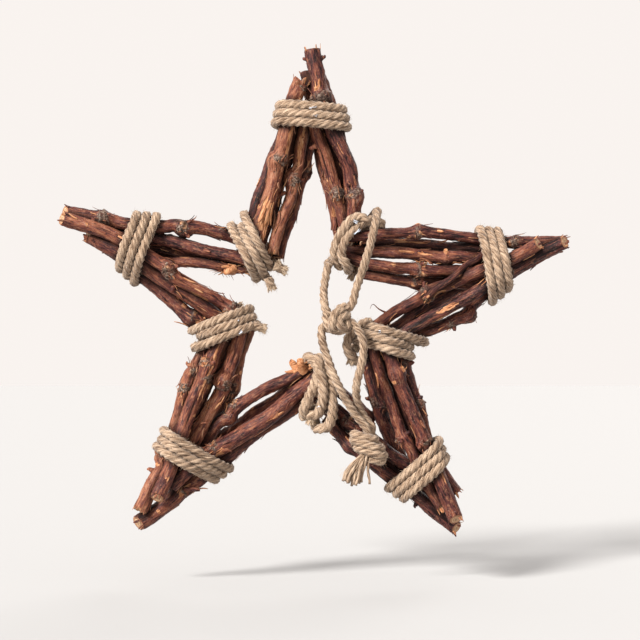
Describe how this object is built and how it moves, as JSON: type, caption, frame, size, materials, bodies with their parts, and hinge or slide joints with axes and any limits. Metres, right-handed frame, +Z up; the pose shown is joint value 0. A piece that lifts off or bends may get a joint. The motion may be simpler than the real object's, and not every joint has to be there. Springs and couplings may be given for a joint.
{
  "type": "twig star decoration",
  "caption": "Five-pointed star of dark vine twigs lashed with jute rope at its points and inner corners, with a knotted hanging cord, to hang flat on a wall.",
  "frame": {"origin": "the nail that holds the star, where it leaves the wall: in the crotch of the top point, under that point's rope binding", "axes": "+Z up, -Y out of the wall towards the viewer, +X to the viewer's right; the wall is the plane y = 0 and the star's back touches it"},
  "size_m": [0.504, 0.1011, 0.4836],
  "materials": {
    "vine_bark": "reddish-brown vine bark, rough and fibrous, peeling in strips, with pale sawn ends",
    "jute_rope": "three-strand laid jute, matt, fuzzy, light tan"
  },
  "bodies": {
    "root": {"binding_corner_bottom": "jute_rope", "binding_corner_left": "jute_rope", "binding_corner_right": "jute_rope", "binding_corner_upper_left": "jute_rope", "binding_corner_upper_right": "jute_rope", "binding_point_foot_left": "jute_rope", "binding_point_foot_right": "jute_rope", "binding_point_left": "jute_rope", "binding_point_right": "jute_rope", "binding_point_top": "jute_rope", "cane_foot_left_inner_1": "vine_bark", "cane_foot_left_inner_2": "vine_bark", "cane_foot_left_inner_3": "vine_bark", "cane_foot_left_inner_4": "vine_bark", "cane_foot_left_outer_1": "vine_bark", "cane_foot_left_outer_2": "vine_bark", "cane_foot_left_outer_3": "vine_bark", "cane_foot_left_outer_4": "vine_bark", "cane_foot_left_outer_5": "vine_bark", "cane_foot_right_inner_1": "vine_bark", "cane_foot_right_inner_2": "vine_bark", "cane_foot_right_inner_3": "vine_bark", "cane_foot_right_inner_4": "vine_bark", "cane_foot_right_outer_1": "vine_bark", "cane_foot_right_outer_2": "vine_bark", "cane_foot_right_outer_3": "vine_bark", "cane_foot_right_outer_4": "vine_bark", "cane_foot_right_outer_5": "vine_bark", "cane_left_lower_1": "vine_bark", "cane_left_lower_2": "vine_bark", "cane_left_lower_3": "vine_bark", "cane_left_lower_4": "vine_bark", "cane_left_upper_1": "vine_bark", "cane_left_upper_2": "vine_bark", "cane_left_upper_3": "vine_bark", "cane_left_upper_4": "vine_bark", "cane_right_lower_1": "vine_bark", "cane_right_lower_2": "vine_bark", "cane_right_lower_3": "vine_bark", "cane_right_lower_4": "vine_bark", "cane_right_lower_5": "vine_bark", "cane_right_upper_1": "vine_bark", "cane_right_upper_2": "vine_bark", "cane_right_upper_3": "vine_bark", "cane_right_upper_4": "vine_bark", "cane_right_upper_5": "vine_bark", "cane_top_left_1": "vine_bark", "cane_top_left_2": "vine_bark", "cane_top_left_3": "vine_bark", "cane_top_left_4": "vine_bark", "cane_top_left_5": "vine_bark", "cane_top_right_1": "vine_bark", "cane_top_right_2": "vine_bark", "cane_top_right_3": "vine_bark", "cane_top_right_4": "vine_bark", "cane_top_right_5": "vine_bark", "end_knot": "jute_rope", "hanging_cord_back": "jute_rope", "hanging_cord_left": "jute_rope", "hanging_cord_right": "jute_rope"}
  },
  "joints": []
}
